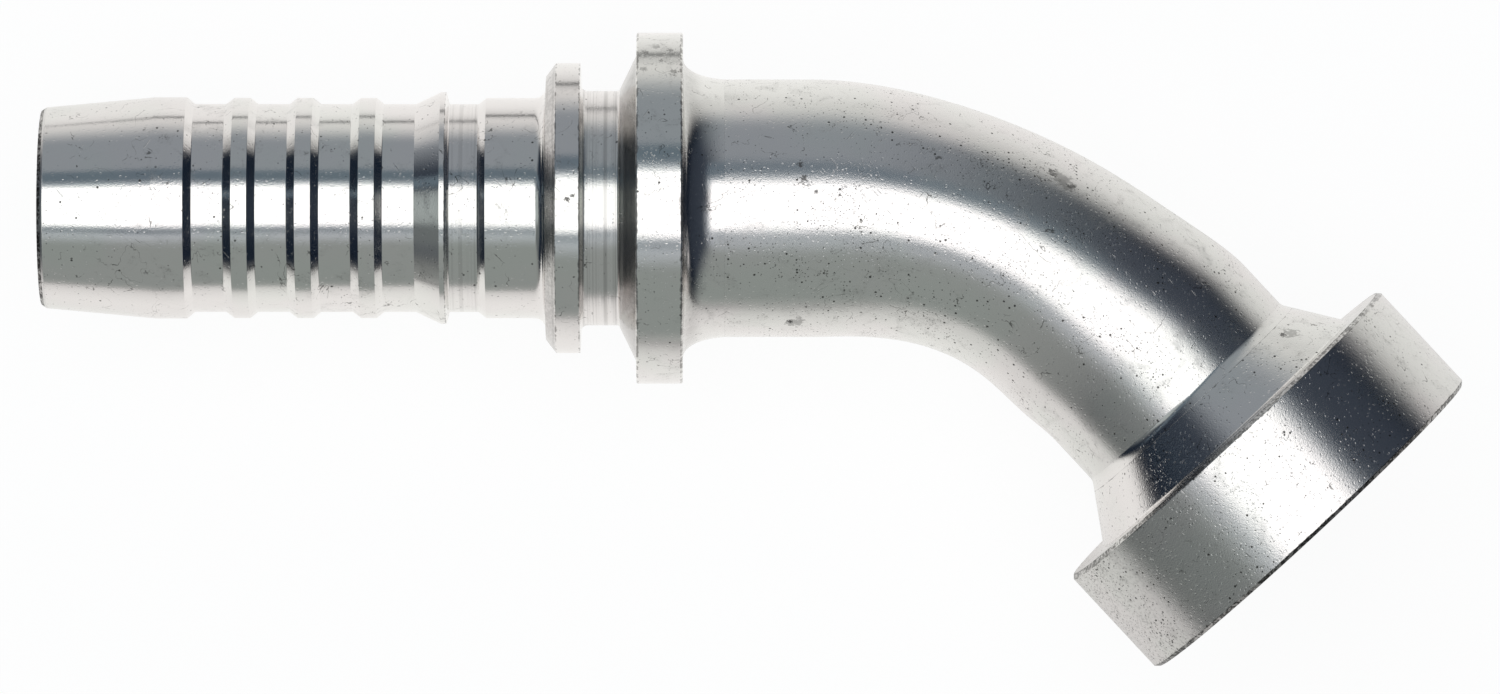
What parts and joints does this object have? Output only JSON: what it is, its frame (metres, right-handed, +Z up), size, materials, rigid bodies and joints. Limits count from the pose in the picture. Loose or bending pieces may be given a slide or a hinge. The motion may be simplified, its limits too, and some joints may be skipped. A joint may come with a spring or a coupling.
{
  "type": "hydraulic hose end fitting",
  "caption": "Brazed steel hose end with a ribbed push-in tail, a crimp collar, a bent tube elbow and a thick split-flange head with a face seal.",
  "frame": {"origin": "centre of the sealing face", "axes": "the hose tail runs along -X, the bend lies in the XY plane with the head pointing 47 degrees from +X towards -Y, and +Z is up as the part lies flat"},
  "size_m": [0.1609, 0.0718, 0.0476],
  "materials": {
    "turned_steel": "turned, bright zinc plate",
    "tube_steel": "drawn tube, bright zinc plate",
    "head_steel": "turned, bright zinc plate",
    "braze": "braze filler under zinc plate",
    "seal_rubber": "satin nitrile rubber"
  },
  "bodies": {
    "root": {"hose_stem": "turned_steel", "elbow_tube": "tube_steel", "flange_head": "head_steel", "stem_braze_ring": "braze", "head_braze_ring": "braze", "face_seal": "seal_rubber"}
  },
  "joints": []
}
